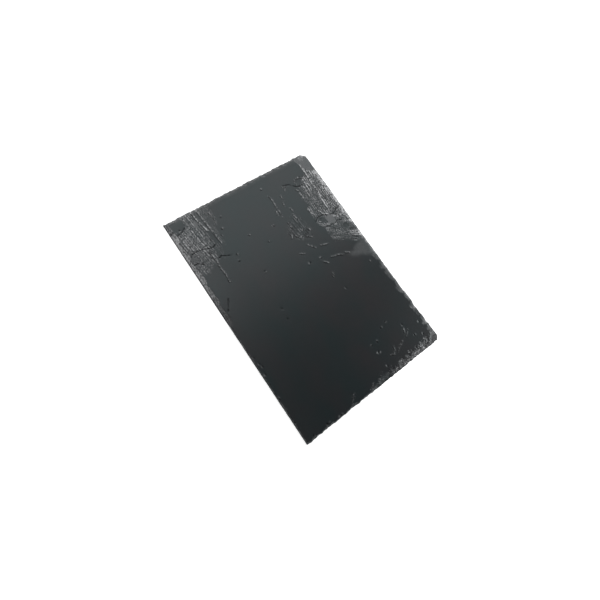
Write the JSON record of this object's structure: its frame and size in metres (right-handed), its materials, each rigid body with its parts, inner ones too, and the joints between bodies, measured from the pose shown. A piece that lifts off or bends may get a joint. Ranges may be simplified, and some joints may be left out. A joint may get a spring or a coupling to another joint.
{
  "type": "slate roof tile",
  "caption": "Rectangular natural slate roof tile: a thin riven stone plate with chipped, bevelled edges, laid overlapping in courses on roof battens.",
  "frame": {"origin": "middle of the underside, at the centre of the tile's outline", "axes": "+X across the slope to the right, +Y up the slope from tail to head, +Z out of the weather face"},
  "size_m": [0.22, 0.32, 0.005],
  "materials": {
    "slate": "satin"
  },
  "bodies": {
    "root": {"slate_tile": "slate"}
  },
  "joints": []
}
